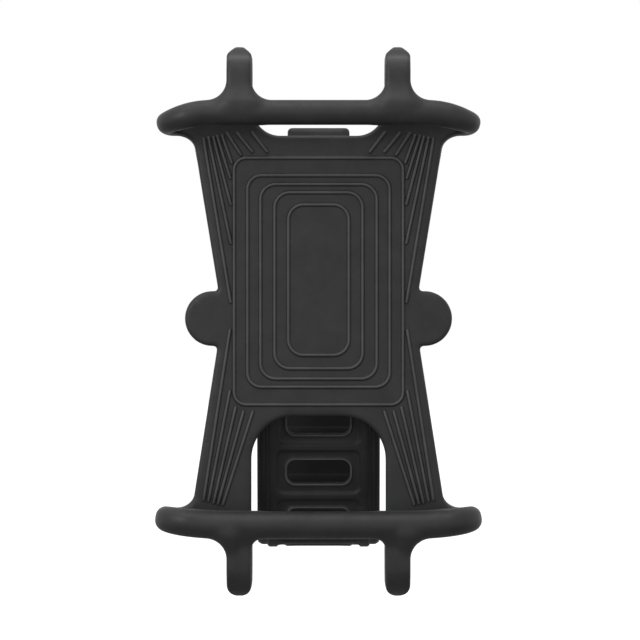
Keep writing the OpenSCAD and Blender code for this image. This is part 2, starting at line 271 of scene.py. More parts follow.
FAR = 20.0                         # a distance that stands for outside


def between_prongs(x, z, band):
    """The gap between the prongs: the notch of the upper band or the arch of the lower one."""
    half = NOTCH_HALF if band is UPPER else ARCH_HALF
    low = PAD_EDGE_Z if band is UPPER else -ARCH_TOP
    r = NOTCH_R if band is UPPER else ARCH_R
    widened = band.prong_x - band.prong_half - half
    half = half + widened * ease(z, WIDEN_FROM, WIDEN_TO)
    return rounded_box(x, z - low - GAP_DEPTH, half, GAP_DEPTH, r)


def pad_side(x, z):
    """Hourglass side with its round tab, for x >= 0 and z as in the frame."""
    upper = half_plane(x, z, (25.7, 8.5), (31.55, 44.4))
    lower = half_plane(x, z, (31.75, -44.8), (25.9, -7.5))
    waist = np.minimum(np.minimum(upper, lower), x - WAIST_X)
    return fuse(waist, np.hypot(x - TAB_X, z - TAB_Z) - TAB_R, TAB_FILLET)


def outline(x, z, v, half_height, band):
    """Outline of the pad's half with its ribbon and rear leg, with the fold laid flat."""
    body = np.maximum(pad_side(x, z * band.sign), z - band.fold_z + BODY_OVERLAP)
    ribbon = np.abs(v) - half_height
    leg_half = band.turn_z - LEG_FOOT_Z + 1
    leg = rounded_box(x, z - LEG_FOOT_Z, band.prong_x + band.prong_half, leg_half, LEG_R)
    whole = fuse(fuse(body, ribbon, RIBBON_FILLET), leg, LEG_FILLET)
    return np.maximum(whole, -between_prongs(x, z, band))


def crossbar(x, y, z, band):
    """Round bar that droops towards the corners, for x >= 0, with a thin parting line underneath."""
    dy = y - band.bar_y
    arc = np.hypot(x - band.straight_x, z - band.bar_z + band.droop_r) - band.droop_r
    across = np.where(x <= band.straight_x, z - band.bar_z, arc)
    under = np.exp(-(dy / FLASH_HALF_W) ** 2) * (across < 0) * ease(x, FLASH_FROM, FLASH_TO)
    return np.hypot(across, dy) - band.r - FLASH_H * under


def prong_loop(x, y, z, band):
    """Folded pull prong: its front leg and the turn."""
    q = y - band.turn_y
    radial = np.where(z > band.turn_z, np.hypot(q, z - band.turn_z), -q + 0 * z) - band.turn_r
    dx = x - band.prong_x
    loop = carve(np.abs(dx) - band.prong_half, np.abs(radial) - SKIN_T / 2, EDGE_R)
    if band.tip_cut == "chamfer":
        slope = (np.abs(dx) + z - band.tip_z - TIP_FLAT) * math.sqrt(0.5)
        loop = carve(loop, np.maximum(slope, z - band.tip_z), TIP_R)
    else:
        end_z = band.tip_z - band.prong_half
        tip = np.where(z > end_z, np.hypot(dx, z - end_z), np.abs(dx) + 0 * z) - band.prong_half
        loop = np.maximum(loop, tip)
    return np.maximum(loop, np.where(q < 0, band.bar_z - z, band.turn_z - z))


def band_field(x, y, z, band):
    """The moulding's end from CURL_Z outward, for x >= 0 and z counted away from the seat.

    The corner fold is worked out flat: a point there is first unrolled into the pad's plane. h and v
    lie along and across the crossbar's end, q is the depth from the fold's axis and b the angle round it.
    """
    cos_t, sin_t = math.cos(band.tilt), math.sin(band.tilt)
    dx, dz = x - FOLD_X, z - band.fold_z
    h = (dx * cos_t - dz * sin_t) * ease(z, CURL_Z, CURL_Z + CURL_BLEND)
    v = dx * sin_t + dz * cos_t
    q = y - band.turn_y
    turning = h > 0
    b = np.where(turning, np.arctan2(np.maximum(h, 0), -q), math.pi)
    stretch = np.where(turning, band.turn_r * (math.pi - b) - h, 0)
    depth = np.where(turning, np.hypot(h, q) - band.turn_r, q - band.turn_r)
    front = (1 + np.cos(b)) / 2
    half_t = SKIN_T / 2 + (band.r - SKIN_T / 2) * front
    half_h = band.ribbon_half + (band.r - band.ribbon_half) * front - band.pinch * np.sin(b) ** 2
    edge = EDGE_R + (half_t - EDGE_R) * ease(front, 0, 0.5)
    height = np.where(turning, v, dz / cos_t)
    shape = outline(x + stretch * cos_t, z - stretch * sin_t, height, half_h, band)
    sheet = carve(shape, np.abs(depth) - half_t, edge)
    loop = prong_loop(x, y, z, band)
    bar = np.where((x > FOLD_X + dz * sin_t / cos_t) | (q > 0), FAR, crossbar(x, y, z, band))
    inner_r = LOOP_FILLET if band is UPPER else LOWER_INNER_FILLET
    fillet = inner_r + (LOOP_FILLET - inner_r) * ease(x, band.prong_x - 1, band.prong_x + 1)
    outward = ease(z, band.bar_z - FLUSH_DEPTH, band.bar_z + band.r)
    fillet = FLUSH_FILLET + (fillet - FLUSH_FILLET) * outward
    bar = fuse(bar, np.where(q < 0, loop, FAR), fillet)
    return np.minimum(np.minimum(sheet, bar), loop)


def moulding_field(low, high, step):
    """The pad and both bands in one field. Returns the whole field and its low corner."""
    x, y, z = grid((0, low[1], low[2]), high, step)
    flat = np.maximum(pad_side(x, z), -between_prongs(x, -z, LOWER))
    field = carve(flat, np.abs(y - PAD_MID) - SKIN_T / 2, EDGE_R)
    for band in (UPPER, LOWER):
        there = band.sign * z[0, 0] >= CURL_Z
        field[:, :, there] = band_field(x, y, band.sign * z[:, :, there], band)
    return mirrored(field), whole_corner(x, low, step)


# ---- raised ribs

# Outer line of each ring: half width, top, bottom and corner radius
RINGS = [(21.5, 41.4, -21.4, 3.1), (18.1, 36.95, -16.9, 3.6), (14.8, 34.7, -14.8, 3.9),
         (11.2, 32.6, -12.2, 3.9), (7.7, 29.5, -8.8, 3.9)]
# Fans of straight ribs on the right: from the pad's edge to beside the outer ring
UPPER_FAN = [((29.3, 46.6), (22.3, 4.1)), ((28.1, 46.9), (22.2, 19.1)), ((26.9, 47.1), (22.2, 29.0)),
             ((25.9, 47.3), (22.3, 35.7)), ((24.7, 47.5), (21.9, 39.6)), ((23.5, 48.0), (19.5, 41.8)),
             ((21.0, 48.0), (16.4, 42.5)), ((17.2, 48.2), (12.7, 42.5))]
LOWER_FAN = [((29.3, -46.1), (22.5, -2.0)), ((28.1, -46.4), (22.5, -17.5)), ((26.8, -46.8), (21.0, -21.6)),
             ((25.7, -47.1), (19.0, -22.7)), ((24.5, -47.3), (16.6, -22.7))]
FAN_GAP = 0.1                      # the fans stop this far short of their nominal ends
FADE_STATIONS, FADE_STEP = 4, 0.12  # close stations at a straight rib's ends, where it fades out
STATION_GAP = 2.5                  # rough distance between its other stations
RIB_BASE = 0.15                    # how deep the ribs' roots sit in the pad
# Half profile of a rib: distance from its middle line and share of its height
RIB_PROFILE = [(0.0, 1.0), (0.16, 0.96), (0.27, 0.78), (0.34, 0.45), (0.42, 0.14), (0.6, 0.0)]


def rib_section(scale):
    """Closed profile of a rib as (across, out) pairs, shrunk by scale towards its ends."""
    right = [(a * (0.4 + 0.6 * scale), h * RIB_TOP * scale) for a, h in RIB_PROFILE]
    edge = right[-1][0]
    return [(-a, h) for a, h in right[:0:-1]] + right + [(edge, -RIB_BASE), (-edge, -RIB_BASE)]


def sweep_rib(path, closed):
    """Rib along a path of (x, z) points on the pad's front face. An open one fades out at its ends."""
    points, faces = [], []
    path = np.array(path, float)
    ahead = np.roll(path, -1, 0) - path
    if not closed:
        ahead[-1] = ahead[-2]
    back = np.roll(ahead, 1, 0)
    if not closed:
        back[0] = ahead[0]
    along = ahead / np.linalg.norm(ahead, axis=1)[:, None] + back / np.linalg.norm(back, axis=1)[:, None]
    along /= np.linalg.norm(along, axis=1)[:, None]
    n = len(path)
    for i, (p, d) in enumerate(zip(path, along)):
        scale = 1.0
        if not closed:
            scale = min(1.0, math.sqrt((min(i, n - 1 - i) + 0.15) / FADE_STATIONS))
        section = rib_section(scale)
        points += [(p[0] - d[1] * a, PAD_FRONT - out, p[1] + d[0] * a) for a, out in section]
    m = len(rib_section(1.0))
    for i in range(n if closed else n - 1):
        j = (i + 1) % n
        faces += [(i * m + k, j * m + k, j * m + (k + 1) % m, i * m + (k + 1) % m) for k in range(m)]
    if not closed:
        faces += [tuple(range(m))[::-1], tuple((n - 1) * m + k for k in range(m))]
    return points, faces


def ring_path(half, top, bottom, r, arc_steps=10):
    """Rounded rectangle as a closed path of (x, z) points."""
    path = []
    for cx, cz, start in ((half - r, top - r, 90), (half - r, bottom + r, 0),
                          (-half + r, bottom + r, -90), (-half + r, top - r, -180)):
        for i in range(arc_steps + 1):
            a = math.radians(start - 90 * i / arc_steps)
            path.append((cx + r * math.cos(a), cz + r * math.sin(a)))
    return path


def fan_path(start, end):
    """Straight path with a few close stations at both ends, where the rib fades out."""
    a, b = np.array(start), np.array(end)
    length = np.linalg.norm(b - a)
    b = a + (b - a) * (length - FAN_GAP) / length
    length -= FAN_GAP
    near = [FADE_STEP * i for i in range(FADE_STATIONS)]
    fade = FADE_STATIONS * FADE_STEP
    middle = list(np.linspace(fade, length - fade, max(3, int(length / STATION_GAP))))
    stations = near + middle + [length - s for s in near[::-1]]
    return [a + (b - a) * s / length for s in stations]


def rib_object(name):
    """All the raised ribs of the pad and bands, with a painted highlight on their crests."""
    points, faces = [], []

    def add(path, closed):
        p, f = sweep_rib(path, closed)
        base = len(points)
        points.extend(p)
        faces.extend(tuple(base + i for i in face) for face in f)

    for ring in RINGS:
        add(ring_path(*ring), True)
    for start, end in UPPER_FAN + LOWER_FAN:
        for side in (1, -1):
            add(fan_path((side * start[0], start[1]), (side * end[0], end[1])), False)
    obj = new_object(name, points, faces)
    bm = bmesh.new()
    bm.from_mesh(obj.data)
    bmesh.ops.recalc_face_normals(bm, faces=bm.faces[:])
    bm.to_mesh(obj.data)
    bm.free()
    # Painted highlight: the ribs' crests get the paler colour, rising with their height
    set_painted_light(obj, ease(PAD_FRONT - points_mm(obj)[:, 1], 0.1, RIB_TOP - 0.05))
    return obj


def bar_painted_highlight(x, y, z):
    """A painted highlight along the parting lines under the crossbars."""
    painted_light = np.zeros(len(x))
    there = (np.abs(x) > FLASH_FROM) * (np.abs(x) < FOLD_X)
    for band in (UPPER, LOWER):
        droop = np.maximum(np.abs(x) - band.straight_x, 0)
        height = np.hypot(droop, band.sign * z - band.bar_z + band.droop_r)
        below = ease(band.bar_z - band.r + 0.25 - (height - band.droop_r + band.bar_z), 0, 0.3)
        painted_light = np.maximum(painted_light, below * np.exp(-((y - band.bar_y) / 0.5) ** 2) * there)
    return painted_light


def build_moulding():
    """Pad and bands as three meshes that meet flat at the seams."""
    low = (0, UPPER.bar_y - 5, -LOWER.tip_z - 2)
    high = (43, PAD_BACK + 2, UPPER.tip_z + 2)
    field, corner = moulding_field(low, high, PAD_STEP)
    skin = field_object("skin", field, corner, PAD_STEP, SIMPLIFY)
    # Painted highlight on the bars' parting lines
    set_painted_light(skin, bar_painted_highlight(*points_mm(skin).T))
    ribs = rib_object("ribs")
    made = {}
    for name, cuts in (("pad", ((SEAM_Z, False), (-SEAM_Z, True))),
                       ("upper_band", ((SEAM_Z, True),)), ("lower_band", ((-SEAM_Z, False),))):
        parts = [duplicate(skin, f"{name}_skin"), duplicate(ribs, f"{name}_ribs")]
        for part in parts:
            for at, keep_high in cuts:
                cut(part, 2, at, keep_high)
        made[name] = join(f"{name}_moulding", parts)
    bpy.data.objects.remove(skin)
    bpy.data.objects.remove(ribs)
    return made


# ---------------------------------------------------------------- strap

PIN = joint_yz("strap_root_swing")
STRAP_HALF_W = (box_mm("strap_wrap")[1][0] - box_mm("strap_wrap")[0][0]) / 2
STRAP_T = 3.0
# Centres (Y, Z) and radii of the strap's bends, and the depth of its upright end
BEND_C, BEND_R = np.array([-3.0, -47.9]), 9.5
WRAP_C, WRAP_R = np.array([0.0, 5.0]), 19.5
CREST_R = 7.0
UPRIGHT_Y = -13.5
TIP_Z = box_mm("strap_end")[1][2]
HOOK_Z = 36.2
PITCH = 12.85
FIRST_WINDOW = 7.7
WINDOW = (16.3, 6.1, 2.2)          # width, height and corner radius
STRAP_STEP = 0.25
LIP_AT, LIP_H, LIP_HALF_W = 0.28, 0.45, 0.22  # the windows' lips: distance from the rim, height, width
CELL = (10.9, 5.7, 2.0)            # half sizes and corner radius of the recess round each window
CELL_OUTER, CELL_INNER = 0.5, 0.25  # how deep the recess is on each face
GROOVE_X, GROOVE_HALF_W = 13.25, 0.25  # groove beside each edge rail
EYE_R, BORE_R, EYE_HALF, NECK = 3.2, 1.6, 11.0, 5.0  # root eye on the anchor pin
TAB_HALF = 8.0
TAPER = (5.0, 8.5)                 # where the tab's taper starts and ends, from the hook's window
GRIP_H, GRIP_PITCH = 0.18, 1.3     # wavy grip of the tab


def unit(a):
    return np.array([math.cos(a), math.sin(a)])


class Route:
    """Middle line of the closed strap in the Y-Z plane, measured from the anchor pin."""

    def __init__(self):
        front_end = BEND_C - [BEND_R, 0]
        gap = WRAP_C - BEND_C
        size = np.hypot(*gap)
        self.rear = math.atan2(gap[1], gap[0]) - math.acos((BEND_R - WRAP_R) / size)
        self.wrap_end = math.acos((UPRIGHT_Y + CREST_R) / (WRAP_R + CREST_R))
        self.crest_c = WRAP_C + (WRAP_R + CREST_R) * unit(self.wrap_end)
        run = front_end - PIN
        self.front = math.atan2(run[1], run[0])
        self.s_bend = np.hypot(*run)
        self.s_rear = self.s_bend + BEND_R * (math.pi + self.rear)
        self.s_wrap = self.s_rear + math.sqrt(size ** 2 - (WRAP_R - BEND_R) ** 2)
        self.s_crest = self.s_wrap + WRAP_R * (self.wrap_end - self.rear)
        self.s_upright = self.s_crest + CREST_R * self.wrap_end
        self.s_tip = self.s_upright + TIP_Z - self.crest_c[1]
        self.s_hook = self.s_upright + HOOK_Z - self.crest_c[1]

    def at(self, s):
        """Points and headings at the distances s."""
        s = np.asarray(s, float)
        y, z, a = (np.empty_like(s) for _ in range(3))

        def straight(mask, start, heading, s0):
            y[mask] = start[0] + (s[mask] - s0) * math.cos(heading)
            z[mask] = start[1] + (s[mask] - s0) * math.sin(heading)
            a[mask] = heading

        def arc(mask, c, r, first, turn, s0):
            b = first + turn * (s[mask] - s0) / r
            y[mask], z[mask] = c[0] + r * np.cos(b), c[1] + r * np.sin(b)
            a[mask] = b + turn * math.pi / 2

        straight(s < self.s_bend, PIN, self.front, 0)
        arc((s >= self.s_bend) & (s < self.s_rear), BEND_C, BEND_R, math.pi, 1, self.s_bend)
        straight((s >= self.s_rear) & (s < self.s_wrap), BEND_C + BEND_R * unit(self.rear),
                 self.rear + math.pi / 2, self.s_rear)
        arc((s >= self.s_wrap) & (s < self.s_crest), WRAP_C, WRAP_R, self.rear, 1, self.s_wrap)
        arc((s >= self.s_crest) & (s < self.s_upright), self.crest_c, CREST_R, self.wrap_end + math.pi, -1,
            self.s_crest)
        straight(s >= self.s_upright, (UPRIGHT_Y, self.crest_c[1]), math.pi / 2, self.s_upright)
        return y, z, a


ROUTE = Route()


def window_at(k):
    """Where window k is along the strap."""
    return FIRST_WINDOW + PITCH * k


def window_shape(x, s, centre):
    """Distance to the outline of the window at a place along the strap."""
    return rounded_box(x, s - centre, WINDOW[0] / 2, WINDOW[1] / 2, WINDOW[2])


OPEN_WINDOWS = [window_at(k) for k in (0, 1, 2, 3, 7, 8, 9, 10, 11)] + [ROUTE.s_hook]
BLIND_CELLS = [window_at(k) for k in (4, 5, 6)]
LINKS = ["strap_root", "strap_bend_front", "strap_bend_bottom", "strap_bend_rear", "strap_rear_lower",
         "strap_rear_upper", "strap_wrap", "strap_end"]
# The hinges between the links, from the root up
HINGE_S = [window_at(k) + PITCH / 2 for k in (1, 2, 3, 4, 6, 8, 10)]


def strap_field():
    """The strap laid flat: x across, s along, t through it, with t negative on its outer face."""
    low, high = (0, -5, -2.6), (17.1, ROUTE.s_tip + 1.5, 2.6)
    x, s, t = grid(low, high, STRAP_STEP)
    taper = [ROUTE.s_hook + d for d in TAPER]
    half = np.where(s < NECK, EYE_HALF, STRAP_HALF_W)
    half = half + (TAB_HALF - half) * ease(s, *taper)
    edge = carve(carve(x - half, s - ROUTE.s_tip, 1.2), -s, 0.3)
    edge = np.maximum(edge, -s)

    groove = np.exp(-((x - GROOVE_X) / GROOVE_HALF_W) ** 2)
    body = ease(s, NECK, NECK + 1.5) * (1 - ease(s, taper[0] - 2, taper[0]))
    rail = ease(x, 13.1, 13.5)
    edge_round = 0.5 * ease(x, 14.6, STRAP_HALF_W)
    outer = body * (-0.35 * (1 - rail) + 0.3 * rail + 0.2 * groove + edge_round)
    inner = body * 0.3 * groove
    for centre in OPEN_WINDOWS + BLIND_CELLS:
        recess = (1 - ease(rounded_box(x, s - centre, *CELL), -0.5, 0.1)) * body
        outer = outer + CELL_OUTER * recess
        inner = inner + CELL_INNER * recess
    for centre in OPEN_WINDOWS:
        rim = window_shape(x, s, centre)
        outer = outer - LIP_H * np.exp(-((rim - LIP_AT) / LIP_HALF_W) ** 2) * body
    tab = ease(s, ROUTE.s_hook + 9.0, ROUTE.s_hook + 9.6)
    grip = tab * (1 - ease(s, ROUTE.s_tip - 1.6, ROUTE.s_tip - 1.0))
    outer = outer + grip * GRIP_H * (1 + np.cos(2 * math.pi * (s - ROUTE.s_tip) / GRIP_PITCH))
    faces = np.maximum(-t - STRAP_T / 2 + outer, t - STRAP_T / 2 + inner)
    strap = carve(edge, faces, 0.35)
    for centre in OPEN_WINDOWS:
        strap = carve(strap, -window_shape(x, s, centre), 0.25)
    eye = carve(np.hypot(s, t) - EYE_R, x - EYE_HALF, 0.4)
    strap = fuse(strap, eye, 1.0)
    strap = np.maximum(strap, BORE_R - np.hypot(s, t))
    return mirrored(strap), whole_corner(x, low, STRAP_STEP)


def strap_painted_light(x, s, t):
    """Painted light: the tab's grip is painted paler as if lit from above, and its outline and the
    windows' lips get a painted highlight.
    """
    outer = ease(-t, 0.6, 1.1)
    grip = ease(s, ROUTE.s_hook + 8.0, ROUTE.s_hook + 9.4)
    painted_light = np.maximum(0.85 * grip, grip * ease(np.abs(x), 7.1, 7.6))
    for centre in OPEN_WINDOWS:
        rim = window_shape(x, s, centre)
        painted_light = np.maximum(painted_light, outer * np.exp(-((rim - LIP_AT) / 0.2) ** 2))
    return painted_light


def build_strap():
    """Portions of the strap, bent along its route, each holding one hinge, that meet midway between the
    hinges.
    """
    field, corner = strap_field()
    flat = field_object("strap_flat", field, corner, STRAP_STEP, SIMPLIFY)
    # Painted light on the tab, and painted highlights on its outline and the windows' lips
    set_painted_light(flat, strap_painted_light(*points_mm(flat).T))
    middles = [(a + b) / 2 for a, b in zip(HINGE_S[:-1], HINGE_S[1:])]
    portions = []
    for i in range(len(HINGE_S)):
        part = duplicate(flat, f"strap_web_{i + 1}")
        if i:
            cut(part, 1, middles[i - 1], True)
        if i < len(middles):
            cut(part, 1, middles[i], False)
        co = points_mm(part)
        y, z, a = ROUTE.at(co[:, 1])
        bent = np.stack([co[:, 0], y - co[:, 2] * np.sin(a), z + co[:, 2] * np.cos(a)], 1)
        part.data.vertices.foreach_set("co", (bent * MM).ravel())
        part.data.update()
        portions.append(part)
    bpy.data.objects.remove(flat)
    return portions


# ---------------------------------------------------------------- bracket, hook and liner

SEAT_R, LINER_T = 15.9, 3.0
SEAT_HALF = box_mm("saddle_pad")[1][0]
PLATE_T = 2.0
BASE_BACK = PAD_BACK + PLATE_T
BRACKET_HIGH = box_mm("rear_bracket")[1]
CORE_LOW, CORE_HIGH = box_mm("core_plate")
CORE_MID_Z = (CORE_LOW[2] + CORE_HIGH[2]) / 2
SCREW_LOW, SCREW_HIGH = box_mm("bracket_screws")
SCREW_HEAD_R, SCREW_HOLE_R = 2.7, 1.6
FINE_SIMPLIFY = 0.01              # adaptivity of the bracket, hook and liner
BLOCK_HALF_H = 17.3                # half height of the saddle block
LUG_R, BAY_HALF, BAY_R = 3.2, 11.3, 3.7  # pin lugs and the bay between them for the strap's eye
PIN_R = 1.5


def build_bracket():
    """Moulded bracket: base with its tongue, saddle block, and two lugs for the anchor pin."""
    step = 0.3
    low, high = (0, PAD_BACK - 1, -23), BRACKET_HIGH + 1
    x, y, z = grid(low, high, step)
    half_w, half_h = BRACKET_HIGH[0], (CORE_HIGH[2] - CORE_LOW[2]) / 2 + 1.5
    plate = rounded_box(x, z - CORE_MID_Z, half_w, half_h, 4.5)
    tongue_mid = BRACKET_HIGH[2] / 2
    plate = fuse(plate, rounded_box(x, z - tongue_mid, 9.0, BRACKET_HIGH[2] - tongue_mid, 3.0), 3.0)
    body = carve(plate, np.abs(y - BASE_BACK + PLATE_T / 2) - PLATE_T / 2, 0.5)
    block_mid = (BASE_BACK + BRACKET_HIGH[1]) / 2
    block = rounded_box(y - block_mid, z, BRACKET_HIGH[1] - block_mid, BLOCK_HALF_H, 1.2)
    block = carve(np.where(y < block_mid, np.abs(z) - BLOCK_HALF_H, block), x - SEAT_HALF, 0.8)
    behind_base = np.where(y < BASE_BACK - 1, FAR, 0)
    body = fuse(body, block + behind_base, 1.5)
    pin = np.hypot(y - PIN[0], z - PIN[1])
    lug = np.where(y < PIN[0], np.abs(z - PIN[1]) + 0 * y, pin) - LUG_R
    lug = carve(lug, np.abs(x - (SEAT_HALF + BAY_HALF) / 2) - (SEAT_HALF - BAY_HALF) / 2, 0.5)
    body = fuse(body, lug + behind_base, 0.6)
    body = carve(body, SEAT_R + LINER_T - np.hypot(y, z), 0.3)
    bay = np.where(z < PIN[1], np.abs(y - PIN[0]) + 0 * z, pin) - BAY_R
    body = carve(body, -np.maximum(bay, x - BAY_HALF), 0.4)
    body = np.maximum(body, PIN_R - pin)
    screw_x = SCREW_HIGH[0] - SCREW_HEAD_R
    for screw_z in (SCREW_LOW[2] + SCREW_HEAD_R, SCREW_HIGH[2] - SCREW_HEAD_R):
        body = carve(body, SCREW_HOLE_R - np.hypot(x - screw_x, z - screw_z), 0.2)
    return field_object("bracket_moulding", mirrored(body), whole_corner(x, low, step), step,
                        FINE_SIMPLIFY)


def build_hook():
    """Hook on a stadium-shaped foot, with a rounded lip that a strap window slips over."""
    step = 0.2
    hook_high = box_mm("strap_hook")[1]
    low, high = (0, PAD_BACK - 0.6, HOOK_Z - 4), (8.4, hook_high[1] + 0.6, hook_high[2] + 0.8)
    x, y, z = grid(low, high, step)
    dz = z - HOOK_Z
    stem_half_w, stem_half_h, foot_back = 6.0, 1.4, BASE_BACK + 1.5
    foot_depth = np.abs(y - (BASE_BACK + foot_back) / 2) - 0.75
    foot = carve(rounded_box(x, dz, hook_high[0], 3.0, 2.0), foot_depth, 0.35)
    tip = hook_high[1]
    stem_mid = (BASE_BACK + tip) / 2
    stem = rounded_box(y - stem_mid, dz, tip - stem_mid, stem_half_h, 0.6)
    lip_top = hook_high[2] - HOOK_Z
    lip = rounded_box(y - tip + 0.95, dz - lip_top / 2, 0.75, lip_top / 2, 0.45)
    hook = fuse(foot, carve(fuse(stem, lip, 0.5), x - stem_half_w, 0.5), 0.8)
    stud = np.maximum(np.hypot(x, dz) - 3.0, np.abs(y - PAD_BACK - 1.2) - 1.2)
    hook = np.minimum(hook, stud)
    return field_object("hook_moulding", mirrored(hook), whole_corner(x, low, step), step, FINE_SIMPLIFY)


def build_liner():
    """Soft seat liner with grip grooves along the bar, worked out flat and then rolled up."""
    step = 0.22
    mid_r = SEAT_R + LINER_T / 2
    reach = math.acos(7.0 / (SEAT_R + LINER_T)) * mid_r
    x, u, t = grid((0, 0, -LINER_T / 2 - 0.6), (SEAT_HALF + 0.6, reach + 0.8, LINER_T / 2 + 0.6), step)
    end = carve(u - reach, x - SEAT_HALF, 0.8)
    pitch, groove_t, land = 3.1, 0.55, 2.0
    ridge = np.abs((u + pitch / 2) % pitch - pitch / 2)
    inside = 1 - ease(x, SEAT_HALF - 2.2, SEAT_HALF - 1.8)
    groove = groove_t * ease(ridge, land / 2, land / 2 + 0.3) * inside
    half = carve(end, np.maximum(-t - LINER_T / 2 + groove, t - LINER_T / 2), 0.35)
    whole = mirrored(np.swapaxes(mirrored(half), 0, 1))
    low = (-(u.shape[1] - 1) * step, -(x.shape[0] - 1) * step, -LINER_T / 2 - 0.6)
    points, faces = mesh_arrays(whole, low, step, FINE_SIMPLIFY)
    angle, r = math.pi - points[:, 0] / mid_r, mid_r + points[:, 2]
    rolled = np.stack([points[:, 1], r * np.cos(angle), r * np.sin(angle)], 1)
    return new_object("liner_moulding", rolled, faces)


# ---------------------------------------------------------------- materials

def material(name, base, roughness, specular=0.5, metallic=0.0):
    """New material, its nodes, its links and its shader."""
    mat = bpy.data.materials.new(name)
    mat.use_nodes = True
    shader = mat.node_tree.nodes["Principled BSDF"]
    shader.inputs["Base Color"].default_value = (*base, 1)
    shader.inputs["Roughness"].default_value = roughness
    shader.inputs["Specular IOR Level"].default_value = specular
    shader.inputs["Metallic"].default_value = metallic
    return mat, mat.node_tree.nodes, mat.node_tree.links, shader


def noise(nodes, links, coords, scale, detail, roughness=0.6):
    """Noise texture in the object's own coordinates."""
    node = nodes.new("ShaderNodeTexNoise")
    node.inputs["Scale"].default_value = scale
    node.inputs["Detail"].default_value = detail
    node.inputs["Roughness"].default_value = roughness
    links.new(coords.outputs["Object"], node.inputs["Vector"])
    return node


def ramp(nodes, links, source, stops):
    """Colour ramp of a source, with (position, colour) stops."""
    node = nodes.new("ShaderNodeValToRGB")
    elements = node.color_ramp.elements
    while len(elements) < len(stops):
        elements.new(0.5)
    for element, (at, colour) in zip(elements, stops):
        element.position = at
        element.color = (*colour, 1)
    links.new(source, node.inputs["Fac"])
    return node


def bump(nodes, links, height, distance, strength, below=None):
    """Bump of a height, on top of another one if given."""
    node = nodes.new("ShaderNodeBump")
    node.inputs["Distance"].default_value = distance
    node.inputs["Strength"].default_value = strength
    links.new(height, node.inputs["Height"])
    if below:
        links.new(below.outputs["Normal"], node.inputs["Normal"])
    return node


def silicone(name, dark, light, highlight_colour, grain, roughness):
    """Matte moulded silicone: mottled colour, a fine sparked grain and a paler painted highlight where the
    mesh's painted light attribute asks for it.
    """
    mat, nodes, links, shader = material(name, light, roughness, 0.3)
    coords = nodes.new("ShaderNodeTexCoord")
    mottle = noise(nodes, links, coords, 160, 4)
    tint = ramp(nodes, links, mottle.outputs["Fac"], [(0.32, dark), (0.7, light)])
    # Painted highlight colour, mottled, which replaces the silicone's own colour where the painted light
    # attribute is high
    dim_highlight = tuple(0.75 * c for c in highlight_colour)
    highlight_tint = ramp(nodes, links, mottle.outputs["Fac"], [(0.3, dim_highlight), (0.7, highlight_colour)])
    painted_light = nodes.new("ShaderNodeAttribute")
    painted_light.attribute_name = "painted_light"
    colour = nodes.new("ShaderNodeMix")
    colour.data_type = "RGBA"
    links.new(painted_light.outputs["Fac"], colour.inputs["Factor"])
    links.new(tint.outputs["Color"], colour.inputs["A"])
    links.new(highlight_tint.outputs["Color"], colour.inputs["B"])
    links.new(colour.outputs["Result"], shader.inputs["Base Color"])
    patches = noise(nodes, links, coords, 420, 5, 0.7)
    gloss = ramp(nodes, links, patches.outputs["Fac"],
                 [(0.3, (roughness - 0.07,) * 3), (0.7, (roughness + 0.08,) * 3)])
    links.new(gloss.outputs["Color"], shader.inputs["Roughness"])
    soft = noise(nodes, links, coords, 900, 3)
    fine = noise(nodes, links, coords, 4200, 2)
    wide = bump(nodes, links, soft.outputs["Fac"], 0.00006, 0.35)
    tight = bump(nodes, links, fine.outputs["Fac"], 0.00004, grain, wide)
    links.new(tight.outputs["Normal"], shader.inputs["Normal"])
    return mat


def nylon():
    """Black glass-filled nylon with a spark-eroded texture."""
    mat, nodes, links, shader = material("nylon_black", (0.02, 0.02, 0.021), 0.5, 0.45)
    coords = nodes.new("ShaderNodeTexCoord")
    mottle = noise(nodes, links, coords, 300, 5)
    tint = ramp(nodes, links, mottle.outputs["Fac"],
                [(0.3, (0.014, 0.014, 0.015)), (0.75, (0.027, 0.027, 0.028))])
    links.new(tint.outputs["Color"], shader.inputs["Base Color"])
    spark = nodes.new("ShaderNodeTexVoronoi")
    spark.inputs["Scale"].default_value = 2600
    links.new(coords.outputs["Object"], spark.inputs["Vector"])
    raised = bump(nodes, links, spark.outputs["Distance"], 0.00005, 0.45)
    links.new(raised.outputs["Normal"], shader.inputs["Normal"])
    return mat


def steel():
    """Satin steel with fine drawn lines and faint handling marks."""
    mat, nodes, links, shader = material("satin_steel", (0.56, 0.57, 0.58), 0.32, 0.5, 1.0)
    coords = nodes.new("ShaderNodeTexCoord")
    stretch = nodes.new("ShaderNodeMapping")
    stretch.inputs["Scale"].default_value = (200, 4200, 4200)
    links.new(coords.outputs["Object"], stretch.inputs["Vector"])
    lines = nodes.new("ShaderNodeTexNoise")
    lines.inputs["Scale"].default_value = 1.0
    lines.inputs["Detail"].default_value = 3
    links.new(stretch.outputs["Vector"], lines.inputs["Vector"])
    gloss = ramp(nodes, links, lines.outputs["Fac"], [(0.3, (0.24,) * 3), (0.7, (0.42,) * 3)])
    links.new(gloss.outputs["Color"], shader.inputs["Roughness"])
    marks = noise(nodes, links, coords, 500, 5)
    tint = ramp(nodes, links, marks.outputs["Fac"],
                [(0.3, (0.45, 0.46, 0.47)), (0.7, (0.6, 0.61, 0.62))])
    links.new(tint.outputs["Color"], shader.inputs["Base Color"])
    raised = bump(nodes, links, lines.outputs["Fac"], 0.00002, 0.2)
    links.new(raised.outputs["Normal"], shader.inputs["Normal"])
    return mat


# ---------------------------------------------------------------- assembly

